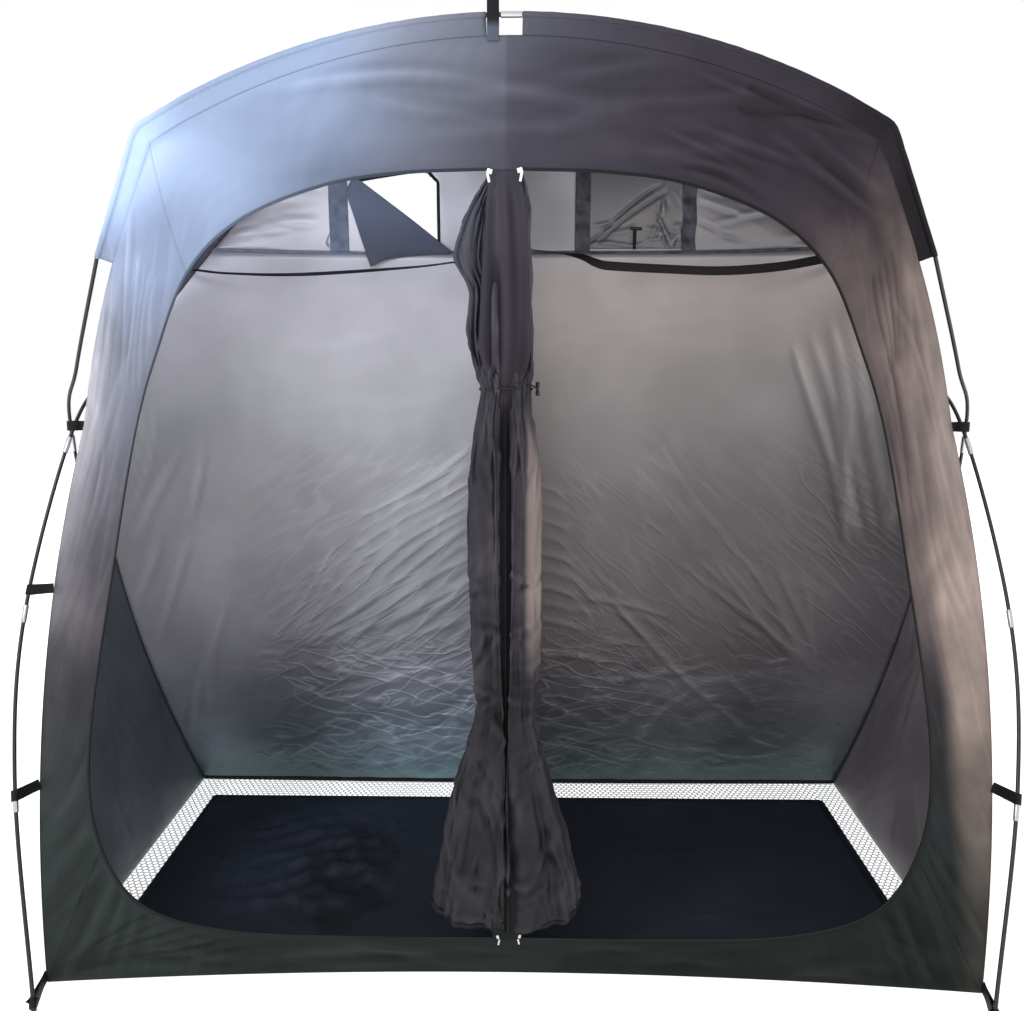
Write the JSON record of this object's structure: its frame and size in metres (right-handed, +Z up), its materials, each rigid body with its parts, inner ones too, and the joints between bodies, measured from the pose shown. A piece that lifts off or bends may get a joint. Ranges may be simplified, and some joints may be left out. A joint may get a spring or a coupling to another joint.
{
  "type": "shower tent",
  "caption": "Shower tent with a room each side of a divider, doors gathered at the middle, a floor with drain mesh edges, rear windows and crossed arch poles.",
  "frame": {"origin": "on the floor, at the middle of the tent's footprint", "axes": "+Z up, the doors face -Y, +X to the right for a person who looks at the doors"},
  "size_m": [2.4292, 1.2806, 2.1392],
  "materials": {
    "charcoal_polyester": "woven polyester, dark grey outside and silver coated inside",
    "door_polyester": "woven polyester, crumpled",
    "black_fibreglass": "smooth black rod with pale metal ferrules",
    "black_webbing": "woven webbing",
    "floor_sheet": "coated floor cloth, near black",
    "drain_mesh": "open hexagon mesh",
    "black_plastic": "moulded"
  },
  "bodies": {
    "root": {"front_header": "charcoal_polyester", "front_left_panel": "charcoal_polyester", "front_right_panel": "charcoal_polyester", "front_sill": "charcoal_polyester", "front_centre_strip": "charcoal_polyester", "rear_wall": "charcoal_polyester", "rear_window_band": "charcoal_polyester", "left_window_flap": "charcoal_polyester", "right_window_flap": "charcoal_polyester", "left_lower_side": "charcoal_polyester", "right_lower_side": "charcoal_polyester", "left_upper_side": "charcoal_polyester", "right_upper_side": "charcoal_polyester", "roof_panel": "charcoal_polyester", "front_left_sleeve": "charcoal_polyester", "front_right_sleeve": "charcoal_polyester", "rear_left_sleeve": "charcoal_polyester", "rear_right_sleeve": "charcoal_polyester", "front_roof_pole": "black_fibreglass", "rear_roof_pole": "black_fibreglass", "front_left_leg_pole": "black_fibreglass", "front_right_leg_pole": "black_fibreglass", "rear_left_leg_pole": "black_fibreglass", "rear_right_leg_pole": "black_fibreglass", "left_cross_tie": "black_webbing", "right_cross_tie": "black_webbing", "front_left_upper_strap": "black_webbing", "front_left_lower_strap": "black_webbing", "front_right_lower_strap": "black_webbing", "rear_left_upper_strap": "black_webbing", "rear_left_lower_strap": "black_webbing", "rear_right_upper_strap": "black_webbing", "rear_right_lower_strap": "black_webbing", "front_left_foot_strap": "black_webbing", "front_right_foot_strap": "black_webbing", "rear_left_foot_strap": "black_webbing", "rear_right_foot_strap": "black_webbing", "front_peak_tie": "black_webbing", "rear_peak_tie": "black_webbing", "left_door": "door_polyester", "right_door": "door_polyester", "door_tie": "black_webbing", "door_tie_toggle": "black_plastic", "divider_curtain": "door_polyester", "floor_panel": "floor_sheet", "rear_drain_mesh": "drain_mesh", "left_drain_mesh": "drain_mesh", "right_drain_mesh": "drain_mesh", "left_towel_strap": "black_webbing", "right_towel_strap": "black_webbing"}
  },
  "joints": []
}
